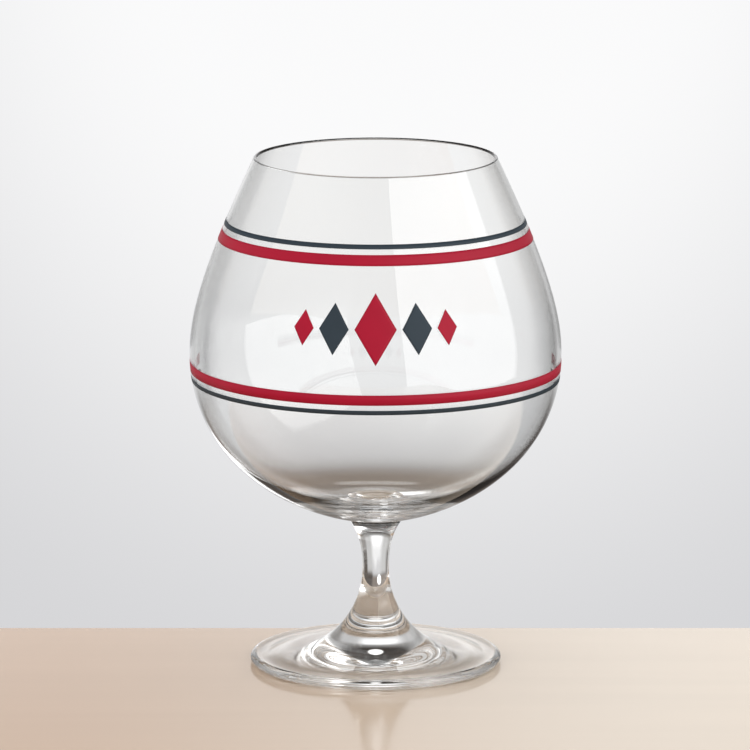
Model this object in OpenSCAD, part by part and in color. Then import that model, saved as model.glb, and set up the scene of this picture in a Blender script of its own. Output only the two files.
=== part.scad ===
// Brandy snifter of clear glass: a wide bowl that closes towards its mouth, a short
// drawn stem with a narrow waist, and a round foot whose top flares up into the stem.
// The three gathers of glass are fused face to face at two flat joints. A fired
// enamel print lies on the front of the bowl: a stripe and a hairline above and
// below, with a row of lozenges between them on the belly. +Z runs up the axis of
// turning, the print faces -Y, and the foot rests on z = 0.

/* [Foot] */
// Diameter of the foot
foot_d = 73.6; // [68:0.2:84]
// Thickness of the foot at its rounded edge
foot_edge_h = 3; // [2.4:0.1:3.6]
// How far the rounded edge reaches in from the rim of the foot
foot_edge_w = 1.8; // [1.2:0.1:2.4]
// Diameter at which the brim of the foot turns up into the flare
brim_d = 45; // [40:0.5:52]
// Height of the top of the foot at that diameter
brim_z = 3.9; // [3.8:0.1:5]
// Slope of the brim there, in degrees above the horizontal
brim_slope = 8.6; // [4:0.2:12]
// How far the brim keeps that slope on its way out to the edge
brim_reach = 5; // [3:0.5:7]
// How far the flare keeps that slope on its way in to the stem
flare_reach = 11; // [8:0.5:13]
// Outer diameter of the flat ring that the foot rests on
rest_d = 69; // [60:0.5:70]
// Width of the flat ring
rest_w = 2.6; // [1.5:0.1:4]
// Height of the hollow under the middle of the foot
hollow_h = 1.4; // [0.6:0.1:2.2]

/* [Stem] */
// Height of the flat joint where the stem is fused to the foot
foot_joint_z = 9.5; // [8:0.1:12]
// Diameter of the waist, the narrowest place of the stem
waist_d = 7.8; // [7:0.1:10]
// Height of the waist
waist_z = 27.3; // [24:0.1:30]
// How far the stem runs almost straight down from the waist
waist_drop = 9.8; // [7:0.1:12]
// How far the stem runs almost straight up from the waist
waist_rise = 7.5; // [5:0.1:9]
// Diameter of the collar, where the stem is fused to the bowl
collar_d = 16.6; // [14:0.2:20]
// Slope of the collar there, in degrees from the horizontal
collar_slope = 53; // [40:1:65]
// How far the collar keeps that slope on its way down
collar_reach = 5.9; // [4:0.1:7]
// Height of the flat joint where the bowl is fused to the stem
bowl_joint_z = 43.4; // [40:0.2:52]

/* [Bowl] */
// Height of the bowl, from its joint with the stem up to the rim
bowl_h = 106.6; // [98:0.2:118]
// Outer diameter of the belly, the widest place of the bowl
belly_d = 108.2; // [100:0.2:118]
// Height of the belly above the joint
belly_h = 49.2; // [45:0.2:53]
// Outer diameter of the mouth at the rim
mouth_d = 70.8; // [62:0.2:78]
// Slope of the underside beside the joint, in degrees above the horizontal
under_slope = 10; // [4:0.5:16]
// How far the underside keeps that slope
under_reach = 17.7; // [13:0.1:21]
// How far the round of the belly reaches down
belly_drop = 32.1; // [28:0.1:36]
// How far the round of the belly reaches up
belly_rise = 10.7; // [8:0.1:14]
// Lean of the wall towards the axis at the rim, in degrees
rim_lean = 25; // [18:0.5:30]
// How far the wall runs down from the rim almost straight
neck_reach = 36.6; // [30:0.1:42]

/* [Glass thickness] */
// Thickness of the wall at the fire-polished rim
rim_wall = 0.95; // [0.8:0.05:1.4]
// Thickness of the wall at the belly
belly_wall = 1.4; // [1:0.05:2]
// Thickness of the glass over the joint, on the floor round the mound
heel_h = 4.8; // [4.6:0.1:7]
// How far the floor inside stays nearly flat round the mound
floor_reach = 18.5; // [15:0.5:19]
// How far the round of the belly reaches down inside
floor_rise = 30.7; // [29:0.1:33]
// Diameter of the low mound that the gathering leaves in the middle of the floor
mound_d = 18; // [12:0.5:20]
// Height of the mound
mound_h = 0.8; // [0.4:0.1:1.4]

/* [Print] */
// Thickness of the fired enamel
print_h = 0.1; // [0.06:0.01:0.2]
// Angle that the stripes and hairlines cover, centred on the front
print_wrap = 196; // [120:2:300]
// Width of the two crimson stripes, measured upright
stripe_w = 3; // [2:0.1:5]
// Width of the two slate hairlines, measured upright
hairline_w = 1.3; // [0.8:0.1:2.5]
// Upright gap between a stripe and its hairline
stripe_gap = 1.5; // [1:0.1:3]
// Height of the upper stripe's lower edge above the belly
upper_stripe_up = 33.6; // [28:0.2:38]
// Depth of the lower stripe's upper edge below the belly
lower_stripe_down = 2; // [0:0.2:8]
// Height of the lozenges' middle line above the belly
lozenge_up = 16.4; // [14:0.2:19]
// Height of the middle lozenge
lozenge_h = 20; // [14:0.5:22]
// Width of the middle lozenge
lozenge_w = 12; // [8:0.5:14]
// Gap between the points of neighbouring lozenges
lozenge_gap = 1.6; // [1:0.1:4]
// Share of the middle lozenge's size that the ones beside it have, going outwards
lozenge_shares = [1, 0.72, 0.5];

/* [Hidden] */
$fn = 128;
// Straight pieces in each curve of an outline, and in the round of the lip
curve_n = 32;
lip_n = 8;
// Overrun of the cutting shapes past what they cut
over = 1;

glass_color = [0.86, 0.9, 0.91, 0.45];
crimson = [0.66, 0.11, 0.2];
slate = [0.23, 0.27, 0.3];

foot_r = foot_d / 2;
brim_r = brim_d / 2;
rest_r = rest_d / 2;
waist_r = waist_d / 2;
collar_r = collar_d / 2;
belly_r = belly_d / 2;
mouth_r = mouth_d / 2;
mound_r = mound_d / 2;
belly_z = bowl_joint_z + belly_h;
rim_z = bowl_joint_z + bowl_h;

// A smooth curve from a to d that leaves towards b and arrives from c
function curve(a, b, c, d) = [for (i = [0 : curve_n]) let (t = i / curve_n)
    pow(1 - t, 3) * a + 3 * pow(1 - t, 2) * t * b + 3 * (1 - t) * t * t * c + pow(t, 3) * d];

// The point that lies a reach away from p, at an angle above the +X direction
function away(p, reach, angle) = p + reach * [cos(angle), sin(angle)];

// A list without its first point, for joining two curves end to end
function rest_of(points) = [for (i = [1 : len(points) - 1]) points[i]];

// A list in the other order
function reversed(points) = [for (i = [len(points) - 1 : -1 : 0]) points[i]];

// The stretch of an outline that climbs without turning back, from z0 to z1. Its two
// end points lie on the outline's own straight pieces, so neighbours meet exactly.
function radius_at(points, z) = lookup(z, [for (p = points) [p.y, p.x]]);
function stretch(points, z0, z1) = concat(
    [[radius_at(points, z0), z0]],
    [for (p = points) if (p.y > z0 && p.y < z1) p],
    [[radius_at(points, z1), z1]]);

// Outline of the flare and the stem, from the brim up through the waist to the collar
brim_point = [brim_r, brim_z];
waist_point = [waist_r, waist_z];
collar_point = [collar_r, bowl_joint_z];
flare_outline = curve(brim_point, away(brim_point, flare_reach, 180 - brim_slope),
    away(waist_point, waist_drop, -90), waist_point);
neck_outline = curve(waist_point, away(waist_point, waist_rise, 90),
    away(collar_point, collar_reach, 180 + collar_slope), collar_point);
stem_outline = concat(flare_outline, rest_of(neck_outline));

// Outline of the bowl's outside, from the collar up through the belly to the lip.
// The lip is a half round as thick as the wall, square to the leaning wall.
belly_point = [belly_r, belly_z];
lip_r = rim_wall / 2;
lip_centre = [mouth_r - lip_r, rim_z - lip_r];
lip_outside = away(lip_centre, lip_r, rim_lean);
lip_inside = away(lip_centre, lip_r, 180 + rim_lean);
outer_outline = concat(
    curve(collar_point, away(collar_point, under_reach, under_slope),
        away(belly_point, belly_drop, -90), belly_point),
    rest_of(curve(belly_point, away(belly_point, belly_rise, 90),
        away(lip_outside, neck_reach, rim_lean - 90), lip_outside)));

// Outline of the bowl's inside, from the top of the mound in the middle of the floor,
// down to its foot and up through the belly to the lip
mound_point = [0, bowl_joint_z + heel_h + mound_h];
floor_point = [mound_r, bowl_joint_z + heel_h];
inner_belly_point = belly_point - [belly_wall, 0];
inner_outline = concat(
    curve(mound_point, away(mound_point, mound_r / 2, 0),
        away(floor_point, mound_r / 2, 180), floor_point),
    rest_of(curve(floor_point, away(floor_point, floor_reach, 0),
        away(inner_belly_point, floor_rise, -90), inner_belly_point)),
    rest_of(curve(inner_belly_point, away(inner_belly_point, belly_rise, 90),
        away(lip_inside, neck_reach, rim_lean - 90), lip_inside)));
lip_outline = [for (i = [1 : lip_n - 1]) away(lip_centre, lip_r, rim_lean + 180 * i / lip_n)];

// Outline of the foot below its brim: the hollow, the flat ring, the rounded edge
ring_in_r = rest_r - rest_w;
hollow_outline = [for (i = [0 : curve_n]) let (r = ring_in_r * i / curve_n)
    [r, hollow_h * (1 - pow(r / ring_in_r, 2))]];
edge_point = [foot_r, foot_edge_h / 2];
edge_top = [foot_r - foot_edge_w, foot_edge_h];
edge_outline = concat(
    curve([rest_r, 0], [(rest_r + foot_r) / 2, 0], away(edge_point, foot_edge_h / 4, -90), edge_point),
    rest_of(curve(edge_point, away(edge_point, foot_edge_h / 4, 90),
        away(edge_top, foot_edge_w / 2, 0), edge_top)));
brim_outline = curve(edge_top, away(edge_top, brim_reach, 180),
    away(brim_point, brim_reach, -brim_slope), brim_point);

module foot() {
    color(glass_color) rotate_extrude()
        polygon(concat(hollow_outline, edge_outline, rest_of(brim_outline),
            rest_of(stretch(stem_outline, brim_z, foot_joint_z)), [[0, foot_joint_z]]));
}

module stem() {
    color(glass_color) rotate_extrude()
        polygon(concat([[0, foot_joint_z]], stretch(stem_outline, foot_joint_z, bowl_joint_z),
            [[0, bowl_joint_z]]));
}

module bowl() {
    color(glass_color) rotate_extrude()
        polygon(concat([[0, bowl_joint_z]], outer_outline, lip_outline, reversed(inner_outline)));
}

// A film of enamel on the outside of the bowl between two heights. Its inner face has
// the bowl's own points, so the two lie face to face. It turns through the angle wrap
// and is centred on the front.
module film(z0, z1, wrap) {
    skin = stretch(outer_outline, z0, z1);
    rotate(-90 - wrap / 2) rotate_extrude(angle = wrap)
        polygon(concat(skin, [for (p = reversed(skin)) p + [print_h, 0]]));
}

// A lozenge of enamel, given its width, its height and the angle from the front at
// which it faces. It is cut from a film by a prism that runs out past the bowl.
module lozenge(w, h, turn) {
    facing = 90;
    prism_reach = max([for (p = outer_outline) p.x]) + print_h + over;
    intersection() {
        film(lozenge_z - h / 2, lozenge_z + h / 2, facing);
        rotate(turn) translate([0, 0, lozenge_z]) rotate([90, 0, 0])
            linear_extrude(prism_reach)
                polygon([[-w / 2, 0], [0, -h / 2], [w / 2, 0], [0, h / 2]]);
    }
}

upper_stripe_z = belly_z + upper_stripe_up;
upper_hairline_z = upper_stripe_z + stripe_w + stripe_gap;
lower_stripe_z = belly_z - lower_stripe_down - stripe_w;
lower_hairline_z = lower_stripe_z - stripe_gap - hairline_w;
lozenge_z = belly_z + lozenge_up;
lozenge_skin_r = radius_at(outer_outline, lozenge_z);

// Distance round the bowl from the front to the middle of a lozenge, by its place
// outwards, and the angle that it faces
function lozenge_run(i) = i == 0 ? 0 : lozenge_run(i - 1) + lozenge_gap
    + lozenge_w * (lozenge_shares[i - 1] + lozenge_shares[i]) / 2;
function lozenge_turn(i) = lozenge_run(i) / lozenge_skin_r * 180 / PI;

// The lozenges whose places outwards are listed, on both sides of the front
module lozenges(places) {
    for (i = places, side = (i == 0 ? [1] : [-1, 1]))
        lozenge(lozenge_w * lozenge_shares[i], lozenge_h * lozenge_shares[i],
            side * lozenge_turn(i));
}

module upper_crimson_stripe() {
    color(crimson) film(upper_stripe_z, upper_stripe_z + stripe_w, print_wrap);
}

module upper_slate_hairline() {
    color(slate) film(upper_hairline_z, upper_hairline_z + hairline_w, print_wrap);
}

module lower_crimson_stripe() {
    color(crimson) film(lower_stripe_z, lower_stripe_z + stripe_w, print_wrap);
}

module lower_slate_hairline() {
    color(slate) film(lower_hairline_z, lower_hairline_z + hairline_w, print_wrap);
}

module crimson_lozenges() {
    color(crimson) lozenges([for (i = [0 : 2 : len(lozenge_shares) - 1]) i]);
}

module slate_lozenges() {
    color(slate) lozenges([for (i = [1 : 2 : len(lozenge_shares) - 1]) i]);
}

foot();
stem();
bowl();
upper_crimson_stripe();
upper_slate_hairline();
lower_crimson_stripe();
lower_slate_hairline();
crimson_lozenges();
slate_lozenges();
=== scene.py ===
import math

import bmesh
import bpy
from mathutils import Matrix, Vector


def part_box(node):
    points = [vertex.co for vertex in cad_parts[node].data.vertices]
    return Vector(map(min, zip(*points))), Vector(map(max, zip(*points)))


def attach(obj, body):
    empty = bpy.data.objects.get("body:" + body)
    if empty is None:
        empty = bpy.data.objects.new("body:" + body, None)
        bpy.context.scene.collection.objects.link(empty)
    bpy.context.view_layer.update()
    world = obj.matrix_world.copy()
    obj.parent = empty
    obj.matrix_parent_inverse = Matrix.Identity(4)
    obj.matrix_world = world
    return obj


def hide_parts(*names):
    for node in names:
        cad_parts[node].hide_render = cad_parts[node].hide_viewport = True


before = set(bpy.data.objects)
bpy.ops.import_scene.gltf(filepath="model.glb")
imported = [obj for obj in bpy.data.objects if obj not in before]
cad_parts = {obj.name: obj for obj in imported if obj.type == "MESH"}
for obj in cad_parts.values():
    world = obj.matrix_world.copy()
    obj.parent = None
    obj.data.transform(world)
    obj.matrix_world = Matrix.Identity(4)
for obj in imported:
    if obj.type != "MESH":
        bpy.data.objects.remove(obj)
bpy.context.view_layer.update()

# %% [markdown]
# A brandy snifter of clear glass is three gathers of glass, fused hot: a wide bowl, a
# short stem and a round foot. Six thin films of fired enamel lie on the front of the
# bowl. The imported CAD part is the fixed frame. This script dresses each of its nodes
# in a smoother mesh, because glass shows every facet of a mesh, in what it reflects
# and even more in what it bends.

MM = 0.001

# %% [markdown]
# Every outline of a turned glass can be drawn as a few smooth curves from end to end.
# A Bezier curve suits a glass: two end points and two handles give its place, its
# slope and how far it keeps that slope, which is how the part's own outlines are
# written. A point here is a radius and a height, in metres. A direction is an angle in
# degrees, from outwards and level, through straight up, to inwards.

# %% Curves of an outline
CURVE_STEPS = 56
OUTWARD, UP, INWARD, DOWN = 0, 90, 180, -90


def away(point, reach, angle):
    """The point at a reach from another, at an angle above the level, in degrees."""
    turn = math.radians(angle)
    return Vector((point[0] + reach * math.cos(turn), point[1] + reach * math.sin(turn)))


def curve(start, leave, arrive, end, steps=CURVE_STEPS):
    """A Bezier curve as a list of points, from its two ends and its two handles."""
    points = []
    for i in range(steps + 1):
        t = i / steps
        points.append((1 - t) ** 3 * start + 3 * (1 - t) ** 2 * t * leave
                      + 3 * (1 - t) * t ** 2 * arrive + t ** 3 * end)
    return points


def joined(*curves):
    """Several curves end to end, with each shared point kept once."""
    points = list(curves[0])
    for piece in curves[1:]:
        points += piece[1:]
    return points


# %% [markdown]
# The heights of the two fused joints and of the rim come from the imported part, so the
# dressed pieces stand exactly where the solids do. The radii and the handles repeat
# the part's own sizes, in millimetres.

# %% Heights from the frame, and the sizes of the outlines
foot_joint_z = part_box("stem")[0].z
bowl_joint_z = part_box("bowl")[0].z
rim_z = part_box("bowl")[1].z

FOOT_R, EDGE_H, EDGE_W = 36.8 * MM, 3 * MM, 1.8 * MM
BRIM_R, BRIM_Z, BRIM_SLOPE, BRIM_REACH, FLARE_REACH = 22.5 * MM, 3.9 * MM, 8.6, 5 * MM, 11 * MM
REST_R, REST_W, HOLLOW_H = 34.5 * MM, 2.6 * MM, 1.4 * MM
WAIST_R, WAIST_Z, WAIST_DROP, WAIST_RISE = 3.9 * MM, 27.3 * MM, 9.8 * MM, 7.5 * MM
COLLAR_R, COLLAR_SLOPE, COLLAR_REACH = 8.3 * MM, 53, 5.9 * MM
BELLY_R, BELLY_H, MOUTH_R = 54.1 * MM, 49.2 * MM, 35.4 * MM
UNDER_SLOPE, UNDER_REACH, BELLY_DROP, BELLY_RISE = 10, 17.7 * MM, 32.1 * MM, 10.7 * MM
RIM_LEAN, NECK_REACH = 25, 36.6 * MM
RIM_WALL, BELLY_WALL, FLOOR_RISE = 0.95 * MM, 1.4 * MM, 30.7 * MM
HEEL_H, FLOOR_REACH, MOUND_R, MOUND_H = 4.8 * MM, 18.5 * MM, 9 * MM, 0.8 * MM
print("joints at", round(foot_joint_z / MM, 2), "and", round(bowl_joint_z / MM, 2),
      "mm, rim at", round(rim_z / MM, 2), "mm")

# %% [markdown]
# The stem's side runs from the brim of the foot through the narrow waist to the collar
# under the bowl. The bowl has two sides. The outer one climbs from the collar to the
# belly and leans in to the lip. The inner one starts on the low mound that the
# gathering leaves in the middle of the floor, and follows the outer one at the
# thickness of the wall. The lip between them is a half round, as a flame leaves it.
# Smooth shading would spread the lip's rounding over the whole last step of each side,
# so one more point, at a small share of that step, keeps it close to the lip.

# %% Outline of the stem
brim = Vector((BRIM_R, BRIM_Z))
waist = Vector((WAIST_R, WAIST_Z))
collar = Vector((COLLAR_R, bowl_joint_z))
flare = curve(brim, away(brim, FLARE_REACH, INWARD - BRIM_SLOPE),
              away(waist, WAIST_DROP, DOWN), waist)
neck = curve(waist, away(waist, WAIST_RISE, UP),
             away(collar, COLLAR_REACH, INWARD + COLLAR_SLOPE), collar)
stem_side = joined(flare, neck)

# %% Outline of the bowl
HOLD_SHARE = 0.04
LIP_STEPS, HALF_TURN = 12, 180


def held(points):
    """An outline with one more point just short of its last, to keep its side straight there."""
    return [*points[:-1], points[-1].lerp(points[-2], HOLD_SHARE), points[-1]]


belly = Vector((BELLY_R, bowl_joint_z + BELLY_H))
lip_r = RIM_WALL / 2
lip = Vector((MOUTH_R - lip_r, rim_z - lip_r))
lip_out, lip_in = away(lip, lip_r, OUTWARD + RIM_LEAN), away(lip, lip_r, INWARD + RIM_LEAN)
outside = held(joined(
    curve(collar, away(collar, UNDER_REACH, UNDER_SLOPE), away(belly, BELLY_DROP, DOWN), belly),
    curve(belly, away(belly, BELLY_RISE, UP), away(lip_out, NECK_REACH, DOWN + RIM_LEAN), lip_out)))
mound = Vector((0, bowl_joint_z + HEEL_H + MOUND_H))
floor = Vector((MOUND_R, bowl_joint_z + HEEL_H))
inner_belly = belly - Vector((BELLY_WALL, 0))
inside = held(joined(
    curve(mound, away(mound, MOUND_R / 2, OUTWARD), away(floor, MOUND_R / 2, INWARD), floor),
    curve(floor, away(floor, FLOOR_REACH, OUTWARD),
          away(inner_belly, FLOOR_RISE, DOWN), inner_belly),
    curve(inner_belly, away(inner_belly, BELLY_RISE, UP),
          away(lip_in, NECK_REACH, DOWN + RIM_LEAN), lip_in)))
lip_round = [away(lip, lip_r, RIM_LEAN + HALF_TURN * i / LIP_STEPS) for i in range(1, LIP_STEPS)]
print("wall at the belly", round(BELLY_WALL / MM, 2), "mm, over the joint",
      round((mound.y - bowl_joint_z) / MM, 2), "mm")

# %% [markdown]
# The foot stands on a flat ring near its edge. The hollow inside the ring is a shallow
# arch. The edge of the foot is round, and its top falls gently from the flare.

# %% Outline of the foot
EDGE_STEPS = 16
ring_in = REST_R - REST_W
hollow = [Vector((ring_in * i / CURVE_STEPS, HOLLOW_H * (1 - (i / CURVE_STEPS) ** 2)))
          for i in range(CURVE_STEPS + 1)]
edge, edge_top = Vector((FOOT_R, EDGE_H / 2)), Vector((FOOT_R - EDGE_W, EDGE_H))
edge_side = joined(
    curve(Vector((REST_R, 0)), Vector(((REST_R + FOOT_R) / 2, 0)),
          away(edge, EDGE_H / 4, DOWN), edge, EDGE_STEPS),
    curve(edge, away(edge, EDGE_H / 4, UP),
          away(edge_top, EDGE_W / 2, OUTWARD), edge_top, EDGE_STEPS))
brim_side = curve(edge_top, away(edge_top, BRIM_REACH, INWARD),
                  away(brim, BRIM_REACH, OUTWARD - BRIM_SLOPE), brim)


def radius_at(side, z):
    """The radius of a climbing outline at a height, between its points."""
    for low, high in zip(side, side[1:]):
        if low.y <= z <= high.y:
            return low.x + (high.x - low.x) * (z - low.y) / (high.y - low.y)
    raise ValueError("height off the outline")


def between(side, low, high):
    """The stretch of a climbing outline between two heights."""
    inner = [p for p in side if low < p.y < high]
    return [Vector((radius_at(side, low), low)), *inner, Vector((radius_at(side, high), high))]


# %% Closed outlines of the three gathers
foot_outline = [*hollow, *edge_side, *brim_side[1:], *between(stem_side, BRIM_Z, foot_joint_z)[1:],
                Vector((0, foot_joint_z))]
stem_outline = [Vector((0, foot_joint_z)), *between(stem_side, foot_joint_z, bowl_joint_z),
                Vector((0, bowl_joint_z))]
bowl_outline = [Vector((0, bowl_joint_z)), *outside, *lip_round, *inside[::-1]]
print("outline points:", len(foot_outline), len(stem_outline), len(bowl_outline))

# %% [markdown]
# Each piece is its outline, spun once round the Z axis. Where two gathers are fused
# there is no surface between them in the real glass, but each piece here is closed by
# a flat disc. The two discs get a material of their own that lets light straight
# through, and a sharp edge, so the disc doesn't round off the smooth side next to it.

# %% Turning an outline into a glass piece
TURN_STEPS = 192
TINY = 1e-7


def placed(name, mesh):
    """Puts a mesh into the scene as an object of the same name."""
    ob = bpy.data.objects.new(name, mesh)
    bpy.context.scene.collection.objects.link(ob)
    return ob


def meshed(name, bm):
    """Turns a bmesh into an object, and prints how many faces it has."""
    mesh = bpy.data.meshes.new(name)
    bm.to_mesh(mesh)
    bm.free()
    print(name, len(mesh.polygons), "faces")
    return placed(name, mesh)


def turned(name, outline, joints):
    """Spins an outline round the Z axis, closes it, and marks its flat joint faces."""
    bm = bmesh.new()
    verts = [bm.verts.new((p.x, 0, p.y)) for p in outline]
    edges = [bm.edges.new(pair) for pair in zip(verts, verts[1:])]
    bmesh.ops.spin(bm, geom=verts + edges, cent=(0, 0, 0), axis=(0, 0, 1), angle=math.tau,
                   steps=TURN_STEPS, use_merge=True)
    bmesh.ops.remove_doubles(bm, verts=bm.verts, dist=TINY)
    bmesh.ops.recalc_face_normals(bm, faces=bm.faces)
    for face in bm.faces:
        face.smooth = True
        if any(all(abs(v.co.z - z) < TINY for v in face.verts) for z in joints):
            face.material_index = 1
    for e in bm.edges:
        if len({face.material_index for face in e.link_faces}) == 2:
            e.smooth = False
    return meshed(name, bm)


foot = turned("foot_glass", foot_outline, [foot_joint_z])
stem = turned("stem_glass", stem_outline, [foot_joint_z, bowl_joint_z])
bowl = turned("bowl_glass", bowl_outline, [bowl_joint_z])

# %% [markdown]
# The print is two stripes with a hairline each, and a row of lozenges between them.
# Each is a film that stands a hair above the glass and reaches a hair into it, so the
# two surfaces never fight for the same place. A stripe is spun from the bowl's own
# outline through the angle that the print covers.

# %% Stripes and hairlines
RISE, SUNK = 0.06 * MM, 0.03 * MM
STRIPE_W, HAIRLINE_W, STRIPE_GAP, WRAP = 3 * MM, 1.3 * MM, 1.5 * MM, 196
UPPER_UP, LOWER_DOWN = 33.6 * MM, 2 * MM
FILM_STEPS = 120
FACING = -90


def film(name, bm):
    """Gives a sheet of print its thickness, inwards from its outer face."""
    for face in bm.faces:
        face.smooth = True
    bmesh.ops.solidify(bm, geom=bm.faces[:], thickness=RISE + SUNK)
    bmesh.ops.recalc_face_normals(bm, faces=bm.faces)
    return meshed(name, bm)


def facing_out(bm):
    """Turns all faces of a sheet on the front of the bowl to face outwards."""
    bmesh.ops.recalc_face_normals(bm, faces=bm.faces)
    if sum(face.normal.y for face in bm.faces) > 0:
        bmesh.ops.reverse_faces(bm, faces=bm.faces)


def stripe(name, low, width):
    """A stripe of print round the front of the bowl, from a height upwards."""
    bm = bmesh.new()
    verts = [bm.verts.new((p.x + RISE, 0, p.y)) for p in between(outside, low, low + width)]
    edges = [bm.edges.new(pair) for pair in zip(verts, verts[1:])]
    start = Matrix.Rotation(math.radians(FACING - WRAP / 2), 3, "Z")
    bmesh.ops.rotate(bm, verts=verts, cent=(0, 0, 0), matrix=start)
    bmesh.ops.spin(bm, geom=verts + edges, cent=(0, 0, 0), axis=(0, 0, 1),
                   angle=math.radians(WRAP), steps=FILM_STEPS)
    facing_out(bm)
    return film(name, bm)


upper_stripe_z = belly.y + UPPER_UP
upper_hair_z = upper_stripe_z + STRIPE_W + STRIPE_GAP
lower_stripe_z = belly.y - LOWER_DOWN - STRIPE_W
lower_hair_z = lower_stripe_z - STRIPE_GAP - HAIRLINE_W
upper_stripe = stripe("upper_stripe_print", upper_stripe_z, STRIPE_W)
lower_stripe = stripe("lower_stripe_print", lower_stripe_z, STRIPE_W)
upper_hairline = stripe("upper_hairline_print", upper_hair_z, HAIRLINE_W)
lower_hairline = stripe("lower_hairline_print", lower_hair_z, HAIRLINE_W)

# %% [markdown]
# A lozenge starts as one flat face in front of the bowl. It is divided into a grid,
# and each point is moved straight back on to the round of the bowl, so from the front
# the lozenge keeps its true outline. Each is then turned about the axis to its place.

# %% Lozenges
LOZENGE_UP, LOZENGE_H, LOZENGE_W, LOZENGE_GAP = 16.4 * MM, 20 * MM, 12 * MM, 1.6 * MM
LOZENGE_SHARES = [1, 0.72, 0.5]
LOZENGE_CUTS = 11


def lozenge_sheet(width, height, turn):
    """One lozenge of print as a thin sheet laid on the bowl, turned from the front."""
    bm = bmesh.new()
    points = ((-width / 2, 0, 0), (0, 0, -height / 2), (width / 2, 0, 0), (0, 0, height / 2))
    bm.faces.new([bm.verts.new(point) for point in points])
    bmesh.ops.subdivide_edges(bm, edges=bm.edges[:], cuts=LOZENGE_CUTS, use_grid_fill=True)
    for v in bm.verts:
        z = belly.y + LOZENGE_UP + v.co.z
        r = radius_at(outside, z) + RISE
        v.co = Vector((v.co.x, -math.sqrt(r * r - v.co.x ** 2), z))
    facing_out(bm)
    bmesh.ops.rotate(bm, verts=bm.verts, cent=(0, 0, 0), matrix=Matrix.Rotation(turn, 3, "Z"))
    sheet = bpy.data.meshes.new("sheet")
    bm.to_mesh(sheet)
    bm.free()
    return sheet


def lozenges(name, places):
    """The lozenges at some places outwards from the middle one, on both sides of it."""
    skin_r = radius_at(outside, belly.y + LOZENGE_UP)
    runs = [0]
    for a, b in zip(LOZENGE_SHARES, LOZENGE_SHARES[1:]):
        runs.append(runs[-1] + LOZENGE_GAP + LOZENGE_W * (a + b) / 2)
    bm = bmesh.new()
    for i in places:
        for side in ([1] if i == 0 else [-1, 1]):
            share, turn = LOZENGE_SHARES[i], side * runs[i] / skin_r
            bm.from_mesh(lozenge_sheet(LOZENGE_W * share, LOZENGE_H * share, turn))
    return film(name, bm)


crimson_row = lozenges("crimson_lozenge_print", range(0, len(LOZENGE_SHARES), 2))
slate_row = lozenges("slate_lozenge_print", range(1, len(LOZENGE_SHARES), 2))

# %% [markdown]
# Four small helpers keep the node trees short: one adds a node with its settings,
# values and links, one starts a node group with its own sockets, one uses a group, and
# one starts a material.

# %% Helpers for nodes
def put(tree, kind, values=None, feeds=None, **settings):
    """Adds a node, makes its own settings, sets its inputs, and links its feeds."""
    made = tree.nodes.new(kind)
    for key, value in settings.items():
        setattr(made, key, value)
    for key, value in (values or {}).items():
        made.inputs[key].default_value = value
    for key, socket in (feeds or {}).items():
        tree.links.new(socket, made.inputs[key])
    return made


def new_group(name, **outputs):
    """Starts a node group that takes a place or a direction and gives named outputs."""
    tree = bpy.data.node_groups.new(name, "ShaderNodeTree")
    tree.interface.new_socket(name="Vector", in_out="INPUT", socket_type="NodeSocketVector")
    for label, kind in outputs.items():
        tree.interface.new_socket(name=label, in_out="OUTPUT", socket_type=kind)
    entry = tree.nodes.new("NodeGroupInput")
    return tree, entry.outputs["Vector"], tree.nodes.new("NodeGroupOutput")


def use_group(tree, group, vector):
    """Adds a group to a tree and feeds it a vector."""
    made = tree.nodes.new("ShaderNodeGroup")
    made.node_tree = group
    tree.links.new(vector, made.inputs["Vector"])
    return made


def material(name):
    """A new material, with its node tree, its main shader and its object coordinates."""
    made = bpy.data.materials.new(name)
    made.use_nodes = True
    tree = made.node_tree
    place = put(tree, "ShaderNodeTexCoord").outputs["Object"]
    return made, tree, tree.nodes["Principled BSDF"], place


# %% [markdown]
# Clear glass is one material on all three gathers. Blown glass is never quite even: it
# has a slow waviness, and the underside of the bowl keeps faint rings from being
# turned against a wet block. Both are one small height, made in a node group, and a
# bump tilts the surface by it.

# %% Waviness of blown glass
WAVE_SCALE, RING_SCALE, WAVE_DETAIL = 26.0, 620.0, 1.0
RING_SHARE, RING_TOP, RING_FADE = 2.5, bowl_joint_z + 5 * MM, 8 * MM
RING_BACK, RING_FRONT = 5 * MM, -15 * MM

waviness, place, out = new_group("blown_waviness", Height="NodeSocketFloat")
slow = put(waviness, "ShaderNodeTexNoise", {"Scale": WAVE_SCALE, "Detail": WAVE_DETAIL},
           {"Vector": place})
parts = put(waviness, "ShaderNodeSeparateXYZ", feeds={0: place})
level = put(waviness, "ShaderNodeCombineXYZ",
            feeds={"X": parts.outputs["X"], "Y": parts.outputs["Y"]})
radius = put(waviness, "ShaderNodeVectorMath", feeds={0: level.outputs[0]}, operation="LENGTH")
rings = put(waviness, "ShaderNodeTexNoise", {"Scale": RING_SCALE, "Detail": WAVE_DETAIL},
            {"W": radius.outputs["Value"]}, noise_dimensions="1D")
under = put(waviness, "ShaderNodeMapRange",
            {"From Min": RING_TOP, "From Max": RING_TOP + RING_FADE,
             "To Min": RING_SHARE, "To Max": 0.0},
            {"Value": parts.outputs["Z"]}, interpolation_type="SMOOTHSTEP")
above_joint = put(waviness, "ShaderNodeMath", {1: bowl_joint_z}, {0: parts.outputs["Z"]},
                  operation="GREATER_THAN")
on_bowl = put(waviness, "ShaderNodeMath", feeds={0: under.outputs[0], 1: above_joint.outputs[0]},
              operation="MULTIPLY")
front = put(waviness, "ShaderNodeMapRange", {"From Min": RING_BACK, "From Max": RING_FRONT},
            {"Value": parts.outputs["Y"]}, interpolation_type="SMOOTHSTEP")
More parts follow.
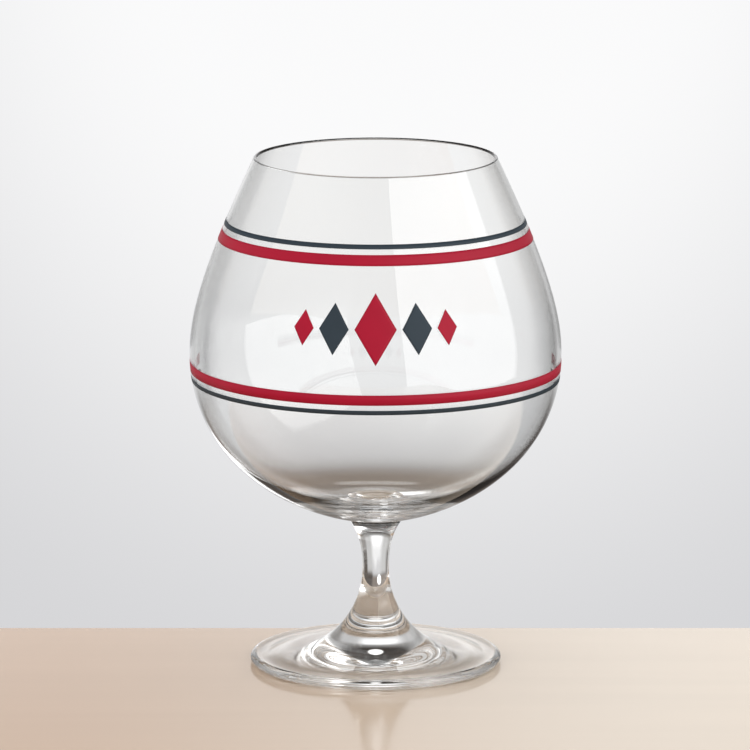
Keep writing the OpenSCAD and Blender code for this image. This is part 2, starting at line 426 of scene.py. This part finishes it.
ring_mask = put(waviness, "ShaderNodeMath", feeds={0: on_bowl.outputs[0], 1: front.outputs[0]},
                operation="MULTIPLY")
both = put(waviness, "ShaderNodeMath", operation="MULTIPLY_ADD",
           feeds={0: rings.outputs[0], 1: ring_mask.outputs[0], 2: slow.outputs[0]})
waviness.links.new(both.outputs[0], out.inputs["Height"])

# %% Clear glass, and the fused joints
GLASS_TINT, GLASS_IOR = (0.985, 0.99, 0.988, 1), 1.52
WAVE_H = 0.03 * MM

glass, tree, shader, place = material("clear_glass")
shader.inputs["Base Color"].default_value = GLASS_TINT
shader.inputs["Roughness"].default_value = 0.0
shader.inputs["IOR"].default_value = GLASS_IOR
shader.inputs["Transmission Weight"].default_value = 1.0
bump = put(tree, "ShaderNodeBump", {"Strength": 1.0, "Distance": WAVE_H},
           {"Height": use_group(tree, waviness, place).outputs["Height"]})
tree.links.new(bump.outputs[0], shader.inputs["Normal"])

fused, tree, shader, place = material("fused_joint")
tree.nodes.remove(shader)
straight_through = put(tree, "ShaderNodeBsdfTransparent")
tree.links.new(straight_through.outputs[0], tree.nodes["Material Output"].inputs["Surface"])

# %% [markdown]
# Enamel is ground glass and pigment, screened on and fired until it is smooth but not
# quite level. Its colour drifts a little with its thickness, and a fine grain stays in
# the surface, so a highlight on it breaks up softly.

# %% Enamels
CRIMSON_PIGMENT, SLATE_PIGMENT = (0.42, 0.005, 0.03), (0.034, 0.05, 0.066)
DRIFT_SCALE, DRIFT_DETAIL, DRIFT_LOW, DRIFT_HIGH = 90.0, 3.0, 0.86, 1.1
GRAIN_SCALE, GRAIN_DETAIL, GRAIN_H = 2600.0, 2.0, 0.004 * MM
ENAMEL_ROUGHNESS, ENAMEL_GLOSS = 0.45, 0.15

firing, place, out = new_group("fired_enamel", Shade="NodeSocketFloat", Height="NodeSocketFloat")
drift = put(firing, "ShaderNodeTexNoise", {"Scale": DRIFT_SCALE, "Detail": DRIFT_DETAIL},
            {"Vector": place})
shade = put(firing, "ShaderNodeMapRange", {"To Min": DRIFT_LOW, "To Max": DRIFT_HIGH},
            {"Value": drift.outputs[0]})
grain = put(firing, "ShaderNodeTexNoise", {"Scale": GRAIN_SCALE, "Detail": GRAIN_DETAIL},
            {"Vector": place})
firing.links.new(shade.outputs[0], out.inputs["Shade"])
firing.links.new(grain.outputs[0], out.inputs["Height"])


def enamel(name, colour):
    """An enamel of one pigment: its colour times the shade of the firing, with its grain."""
    made, tree, shader, place = material(name)
    fired = use_group(tree, firing, place)
    tint = put(tree, "ShaderNodeVectorMath", {0: colour}, operation="SCALE")
    tree.links.new(fired.outputs["Shade"], tint.inputs["Scale"])
    tree.links.new(tint.outputs[0], shader.inputs["Base Color"])
    bump = put(tree, "ShaderNodeBump", {"Strength": 1.0, "Distance": GRAIN_H},
               {"Height": fired.outputs["Height"]})
    tree.links.new(bump.outputs[0], shader.inputs["Normal"])
    shader.inputs["Roughness"].default_value = ENAMEL_ROUGHNESS
    shader.inputs["Specular IOR Level"].default_value = ENAMEL_GLOSS
    return made


crimson = enamel("crimson_enamel", CRIMSON_PIGMENT)
slate = enamel("slate_enamel", SLATE_PIGMENT)

# %% [markdown]
# Each piece now gets its materials and takes the place of one node of the imported part.
# All of them ride on the part's only body, because nothing on a glass moves.

# %% Materials on the pieces, and pieces on the nodes
def dress(piece, node, slot, *materials):
    """Gives a piece its materials and lets it replace one node of the CAD part."""
    for made in materials:
        piece.data.materials.append(made)
    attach(piece, "root")
    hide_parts(node)


for piece, node in ((foot, "foot"), (stem, "stem"), (bowl, "bowl")):
    dress(piece, node, "clear_glass", glass, fused)
for piece, node in ((upper_stripe, "upper_crimson_stripe"),
                    (lower_stripe, "lower_crimson_stripe"), (crimson_row, "crimson_lozenges")):
    dress(piece, node, "crimson_enamel", crimson)
for piece, node in ((upper_hairline, "upper_slate_hairline"),
                    (lower_hairline, "lower_slate_hairline"), (slate_row, "slate_lozenges")):
    dress(piece, node, "slate_enamel", slate)

# %% [markdown]
# The glass stands near the back edge of a pale table, so most of what shows through
# the bowl is the screen behind it. The table is small, because the underside of a
# glass shows all of it. Its colour holds painted light: its own warm wood is painted
# darker on the left and paler to the right, as light from the right falls on it. Long
# faint streaks run across it, and its varnish is polished enough to mirror the stem
# below the foot.

# %% Table
TABLE_BACK, TABLE_FRONT, TABLE_SIDE, TABLE_THICK = 40 * MM, 500 * MM, 300 * MM, 30 * MM
CLEAR = 0.02 * MM
# Painted light: the table's own wood colour, darker as if shaded on the left and paler as if lit on
# the right.
TABLE_WOOD_SHADED, TABLE_WOOD_LIT = (0.54, 0.37, 0.25, 1), (0.79, 0.685, 0.57, 1)
LIT_FROM, LIT_TO = -110 * MM, 95 * MM
STREAKS, STREAK_DETAIL = (3.0, 60.0, 3.0), 3.0
STREAK_LOW, STREAK_HIGH = 0.95, 1.04
VARNISH_ROUGHNESS = 0.11

bm = bmesh.new()
bmesh.ops.create_cube(bm, size=1)
bmesh.ops.scale(bm, verts=bm.verts, vec=(2 * TABLE_SIDE, TABLE_BACK + TABLE_FRONT, TABLE_THICK))
bmesh.ops.translate(bm, verts=bm.verts,
                    vec=(0, (TABLE_BACK - TABLE_FRONT) / 2, -TABLE_THICK / 2 - CLEAR))
table = meshed("table_top", bm)

table_paint, tree, shader, place = material("table_top")
across = put(tree, "ShaderNodeSeparateXYZ", feeds={0: place})
# Painted light: the colour slides from the shaded warm wood on the left to the lit pale wood on the
# right.
painted_light = put(tree, "ShaderNodeMapRange", {"From Min": LIT_FROM, "From Max": LIT_TO},
               {"Value": across.outputs["X"]}, interpolation_type="SMOOTHSTEP")
ground = put(tree, "ShaderNodeMix", feeds={"Factor": painted_light.outputs[0]}, data_type="RGBA")
ground.inputs["A"].default_value, ground.inputs["B"].default_value = TABLE_WOOD_SHADED, TABLE_WOOD_LIT
stretch = put(tree, "ShaderNodeMapping", {"Scale": STREAKS}, {"Vector": place})
streak = put(tree, "ShaderNodeTexNoise", {"Scale": 1.0, "Detail": STREAK_DETAIL},
             {"Vector": stretch.outputs[0]})
streak_shade = put(tree, "ShaderNodeMapRange", {"To Min": STREAK_LOW, "To Max": STREAK_HIGH},
                   {"Value": streak.outputs[0]})
painted = put(tree, "ShaderNodeVectorMath", operation="SCALE",
              feeds={0: ground.outputs["Result"], "Scale": streak_shade.outputs[0]})
tree.links.new(painted.outputs[0], shader.inputs["Base Color"])
shader.inputs["Roughness"].default_value = VARNISH_ROUGHNESS
table.data.materials.append(table_paint)

# %% [markdown]
# A clear glass has no colour of its own, so its look is a picture of the room. The
# camera itself sees only a screen, which glows most just above the picture. A place in
# the room is a direction of length 1, with its x to the right, its y to the back and
# its z up, because a world has no nearer or farther.

# %% Screen that the camera sees
SCREEN_GLOW, SCREEN_DIM = (0.96, 0.96, 0.965, 1), (0.67, 0.67, 0.685, 1)
GLOW_AT, GLOW_NEAR, GLOW_FAR = (0.006, 0.9926, -0.1213), 0.04, 0.14

screen, way, out = new_group("glowing_screen", Color="NodeSocketColor")
off = put(screen, "ShaderNodeVectorMath", {1: GLOW_AT}, {0: way}, operation="DISTANCE")
fall = put(screen, "ShaderNodeMapRange", {"From Min": GLOW_NEAR, "From Max": GLOW_FAR},
           {"Value": off.outputs["Value"]}, interpolation_type="SMOOTHSTEP")
glow = put(screen, "ShaderNodeMix", feeds={"Factor": fall.outputs[0]}, data_type="RGBA")
glow.inputs["A"].default_value, glow.inputs["B"].default_value = SCREEN_GLOW, SCREEN_DIM
screen.links.new(glow.outputs["Result"], out.inputs["Color"])

# %% [markdown]
# What the glass bends or mirrors sees the room round the screen too. The room is
# painted in layers, each blended over the ones before. A soft step along x, y or z
# makes one edge of a layer, and the product of several steps is a patch with that many
# edges. A round patch is a step along the distance from its middle.

# %% Helpers for the layers of the room
room, way, out = new_group("dim_room", Color="NodeSocketColor")
x, y, z = put(room, "ShaderNodeSeparateXYZ", feeds={0: way}).outputs


def ramp(socket, span):
    """A soft step from 0 at the start of a span to 1 at its end."""
    return put(room, "ShaderNodeMapRange", {"From Min": span[0], "From Max": span[1]},
               {"Value": socket}, interpolation_type="SMOOTHSTEP").outputs[0]


def all_of(first, *others):
    """The product of several masks."""
    for other in others:
        first = put(room, "ShaderNodeMath", feeds={0: first, 1: other},
                    operation="MULTIPLY").outputs[0]
    return first


def spot(middle, span):
    """A round mask about a direction, with a soft edge from 0 outside to 1 inside."""
    off = put(room, "ShaderNodeVectorMath", {1: middle}, {0: way}, operation="DISTANCE")
    return ramp(off.outputs["Value"], span)


def blend(factor, a, b):
    """A mix of two colours of the room, each a value or a socket."""
    made = put(room, "ShaderNodeMix", feeds={"Factor": factor}, data_type="RGBA")
    for key, colour in (("A", a), ("B", b)):
        if isinstance(colour, tuple):
            made.inputs[key].default_value = colour
        else:
            room.links.new(colour, made.inputs[key])
    return made.outputs["Result"]


# %% [markdown]
# The back of the room is dim and warm, with a grey band above the level of the glass.
# The floor, the sides and the front are pale, and the ceiling is dark. A pale side
# keeps the glass clear when it is seen from there, and a dim back gives its edges the
# dark lines that show its shape.

# %% Walls, floor and ceiling
ROOM_BACK, ROOM_FRONT, FRONT_SPAN = (0.04, 0.034, 0.03, 1), (0.75, 0.74, 0.73, 1), (0.7, 0.45)
BAND, BAND_TOP, BAND_FOOT = (0.3, 0.295, 0.29, 1), (0.42, 0.28), (-0.1, 0.0)
UNDER, UNDER_SPAN = (0.24, 0.205, 0.18, 1), (-0.25, -0.36)
FLOOR, FLOOR_SPAN = (0.68, 0.67, 0.66, 1), (-0.55, -0.7)
CEILING, CEILING_SPAN = (0.1, 0.1, 0.1, 1), (0.5, 0.85)

walls = blend(all_of(ramp(z, BAND_TOP), ramp(z, BAND_FOOT)), ROOM_BACK, BAND)
walls = blend(ramp(z, UNDER_SPAN), walls, UNDER)
walls = blend(ramp(z, FLOOR_SPAN), walls, FLOOR)
walls = blend(ramp(y, FRONT_SPAN), walls, ROOM_FRONT)
walls = blend(ramp(z, CEILING_SPAN), walls, CEILING)

# %% [markdown]
# The screen is narrow for the glass and grows brighter upwards, and a wider grey sheet
# hangs behind it. Each of their ends draws a line into an edge of the glass. Low on
# the right a dark corner covers the floor, the screen and the side of the room.

# %% Sheet and screen behind the glass
HUNG_BACK = (0.5, 0.7)
SHEET, SHEET_RIGHT, SHEET_LEFT = (0.58, 0.58, 0.58, 1), (0.52, 0.4), (-0.8, -0.5)
SHEET_TOP, SHEET_FOOT = (0.3, 0.2), (-0.34, -0.22)
SCREEN_RIGHT, SCREEN_LEFT = (0.25, 0.08), (-0.4, -0.15)
SCREEN_TOP, SCREEN_FOOT = (0.31, 0.2), (-0.38, -0.225)
SCREEN_EVEN, EVEN_SPAN = (0.92, 0.92, 0.925, 1), (-0.22, -0.11)
SCREEN_BRIGHT, BRIGHT_SPAN = (1.3, 1.3, 1.31, 1), (-0.1, 0.12)
CORNER, CORNER_RIGHT, CORNER_LOW = (0.08, 0.07, 0.065, 1), (0.1, 0.22), (-0.2, -0.34)

on_sheet = all_of(ramp(x, SHEET_RIGHT), ramp(x, SHEET_LEFT), ramp(y, HUNG_BACK),
                  ramp(z, SHEET_TOP), ramp(z, SHEET_FOOT))
walls = blend(on_sheet, walls, SHEET)
lit_screen = blend(ramp(z, EVEN_SPAN), use_group(room, screen, way).outputs["Color"], SCREEN_EVEN)
lit_screen = blend(ramp(z, BRIGHT_SPAN), lit_screen, SCREEN_BRIGHT)
on_screen = all_of(ramp(x, SCREEN_RIGHT), ramp(x, SCREEN_LEFT), ramp(y, HUNG_BACK),
                   ramp(z, SCREEN_TOP), ramp(z, SCREEN_FOOT))
walls = blend(on_screen, walls, lit_screen)
walls = blend(all_of(ramp(x, CORNER_RIGHT), ramp(z, CORNER_LOW)), walls, CORNER)

# %% [markdown]
# Two small lights finish the room. A lamp high behind lights the front edge of the
# foot, and a low card on the left draws the bright crescent under the bowl.

# %% Lamp and card
LAMP, LAMP_AT, LAMP_EDGE = (1.9, 1.88, 1.84, 1), (0.0, 0.857, 0.515), (0.12, 0.07)
CARD, CARD_AT, CARD_EDGE = (2.4, 2.4, 2.4, 1), (-0.18, 0.905, -0.385), (0.12, 0.06)

walls = blend(spot(LAMP_AT, LAMP_EDGE), walls, LAMP)
walls = blend(spot(CARD_AT, CARD_EDGE), walls, CARD)
room.links.new(walls, out.inputs["Color"])

# %% [markdown]
# The world shows the screen to the camera, the whole room to what is mirrored or bent,
# and an even fill to matt surfaces, so that the room's dark parts don't dull the table.

# %% World
FILL = (1.1, 1.09, 1.08, 1)

world = bpy.data.worlds.new("studio")
bpy.context.scene.world = world
world.use_nodes = True
tree = world.node_tree
tree.nodes.clear()
way = put(tree, "ShaderNodeTexCoord").outputs["Generated"]
path = put(tree, "ShaderNodeLightPath")
shiny = put(tree, "ShaderNodeMath", operation="MAXIMUM",
            feeds={0: path.outputs["Is Glossy Ray"], 1: path.outputs["Is Transmission Ray"]})
bent = put(tree, "ShaderNodeMath", operation="SUBTRACT", use_clamp=True,
           feeds={0: shiny.outputs[0], 1: path.outputs["Diffuse Depth"]})
seen = put(tree, "ShaderNodeBackground",
           feeds={"Color": use_group(tree, screen, way).outputs["Color"]})
around = put(tree, "ShaderNodeBackground",
             feeds={"Color": use_group(tree, room, way).outputs["Color"]})
fill = put(tree, "ShaderNodeBackground", {"Color": FILL})
indirect = put(tree, "ShaderNodeMixShader",
               feeds={0: bent.outputs[0], 1: fill.outputs[0], 2: around.outputs[0]})
final = put(tree, "ShaderNodeMixShader",
            feeds={0: path.outputs["Is Camera Ray"], 1: indirect.outputs[0], 2: seen.outputs[0]})
tree.links.new(final.outputs[0], put(tree, "ShaderNodeOutputWorld").inputs["Surface"])

# %% [markdown]
# One large softbox stands to the right of the glass. It is given as a photographer
# would: where it stands round the glass, how high its middle is, how far it leans over
# the glass, its size, and how bright its cloth looks. The camera and matt surfaces
# don't see it, so it shows only in what the glass and the varnish mirror or bend.

# %% Softbox
GLASS_MIDDLE = Vector((0, 0, 90 * MM))
SOFTBOX_AZIMUTH, SOFTBOX_AWAY, SOFTBOX_UP, SOFTBOX_LEAN = 57, 0.85, 0.52, 8
SOFTBOX_SIZE, SOFTBOX_GLOW = (1.5, 1.55), 1.5


def softbox(name, azimuth, distance, height, lean, size, brightness):
    """A rectangular lamp. Its azimuth runs from the front to the right, in degrees."""
    lamp = bpy.data.lights.new(name, "AREA")
    lamp.shape = "RECTANGLE"
    lamp.size, lamp.size_y = size
    lamp.energy = brightness * math.pi * size[0] * size[1]
    ob = bpy.data.objects.new(name, lamp)
    bpy.context.scene.collection.objects.link(ob)
    turn = math.radians(azimuth)
    outward = Vector((math.sin(turn), -math.cos(turn), 0))
    ob.location = GLASS_MIDDLE + outward * distance + Vector((0, 0, height))
    back = outward + Vector((0, 0, math.tan(math.radians(lean))))
    ob.rotation_mode = "QUATERNION"
    ob.rotation_quaternion = back.to_track_quat("Z", "Y")
    ob.visible_camera = ob.visible_diffuse = False
    return ob


softbox("right_softbox", SOFTBOX_AZIMUTH, SOFTBOX_AWAY, SOFTBOX_UP, SOFTBOX_LEAN,
        SOFTBOX_SIZE, SOFTBOX_GLOW)

# %% [markdown]
# The camera's place and lens were fitted to the photograph's outline: it looks down a
# little from almost two metres away. A glass needs many bounces, because each wall is
# two surfaces, and the film of print adds more.

# %% Camera and render settings
CAMERA_AT, CAMERA_TILT = (-0.17 * MM, -1746 * MM, 438.5 * MM), 11.426
SENSOR, FOCAL_SHARE = 36, 8.1553
GLASS_BOUNCES, MIRROR_BOUNCES, JOINT_BOUNCES = 32, 16, 64

lens = bpy.data.cameras.new("camera")
lens.sensor_width, lens.lens = SENSOR, FOCAL_SHARE * SENSOR
camera = bpy.data.objects.new("camera", lens)
bpy.context.scene.collection.objects.link(camera)
camera.location = CAMERA_AT
camera.rotation_euler = (math.radians(90 - CAMERA_TILT), 0, 0)
bpy.context.scene.camera = camera
bpy.context.scene.view_settings.view_transform = "Standard"
cycles = bpy.context.scene.cycles
cycles.max_bounces = cycles.transmission_bounces = GLASS_BOUNCES
cycles.glossy_bounces, cycles.transparent_max_bounces = MIRROR_BOUNCES, JOINT_BOUNCES
